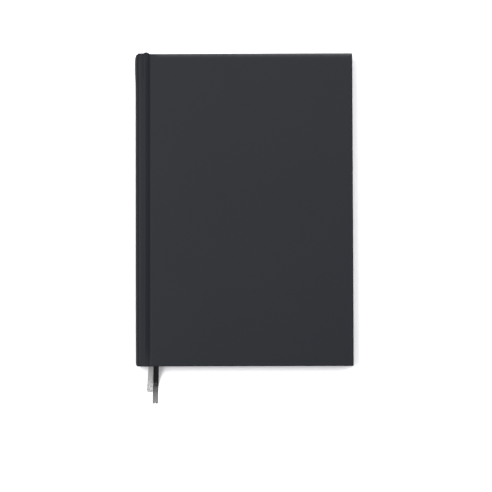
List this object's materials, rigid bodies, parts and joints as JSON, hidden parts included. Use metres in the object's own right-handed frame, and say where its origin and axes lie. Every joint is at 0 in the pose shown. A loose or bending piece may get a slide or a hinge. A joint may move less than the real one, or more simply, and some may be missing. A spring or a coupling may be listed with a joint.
{
  "type": "hardcover notebook",
  "caption": "Closed case-bound notebook with a rounded spine, pressed joint grooves, hinged front and back covers and ribbon markers at the tail.",
  "frame": {"origin": "centre of the back cover's outer face, on which the closed book lies", "axes": "+X from the spine to the fore-edge, +Y from tail to head, +Z from the back cover to the front cover"},
  "size_m": [0.1502, 0.2419, 0.0164],
  "materials": {
    "covering": "matt charcoal imitation leather",
    "pages": "trimmed edges of off-white paper",
    "endpaper": "matt off-white paper",
    "board": "grey-brown binder's board",
    "mull": "open-weave cotton",
    "lining": "brown kraft paper",
    "headband": "black and white beaded cotton",
    "light_ribbon": "light grey satin",
    "dark_ribbon": "black satin"
  },
  "bodies": {
    "block": {"page_block": "pages", "front_flyleaf": "endpaper", "back_flyleaf": "endpaper", "spine_mull": "mull", "spine_lining": "lining", "headband": "headband", "tailband": "headband", "spine_strip": "board", "spine_covering": "covering", "light_ribbon": "light_ribbon", "dark_ribbon": "dark_ribbon"},
    "front_cover": {"front_board": "board", "front_covering": "covering", "front_pastedown": "endpaper", "front_mull_flap": "mull"},
    "back_cover": {"back_board": "board", "back_covering": "covering", "back_pastedown": "endpaper", "back_mull_flap": "mull"}
  },
  "joints": [
    {"name": "front_cover_hinge", "type": "hinge", "parent": "block", "child": "front_cover", "pos_m": [-0.0667, 0, 0.01615], "axis": [0, -1, 0], "range_deg": [0, 178]},
    {"name": "back_cover_hinge", "type": "hinge", "parent": "block", "child": "back_cover", "pos_m": [-0.0667, 0, 0.00025], "axis": [0, 1, 0], "range_deg": [0, 178]}
  ]
}
